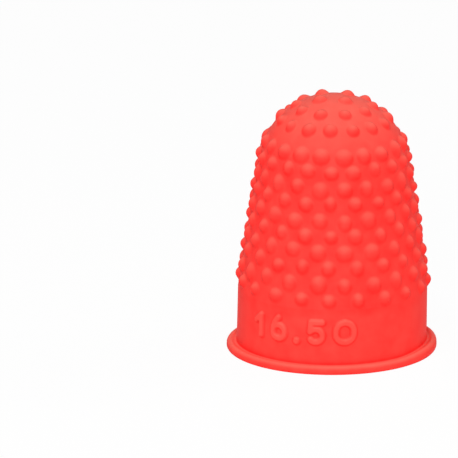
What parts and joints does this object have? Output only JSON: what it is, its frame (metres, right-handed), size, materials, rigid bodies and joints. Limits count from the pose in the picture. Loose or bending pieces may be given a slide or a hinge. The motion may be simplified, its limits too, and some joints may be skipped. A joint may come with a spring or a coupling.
{
  "type": "rubber finger tip",
  "caption": "Soft rubber cover for a fingertip, with a nubbed gripping surface, a round closed end, a smooth skirt and a rim round the open mouth.",
  "frame": {"origin": "centre of the open mouth, on the flat underside of the rim", "axes": "+Z along the axis to the round closed end; -Y is the side that carries the moulded number"},
  "size_m": [0.021, 0.021, 0.0263],
  "materials": {
    "rubber": "matt moulded rubber, coral red"
  },
  "bodies": {
    "root": {"finger_tip": "rubber"}
  },
  "joints": []
}
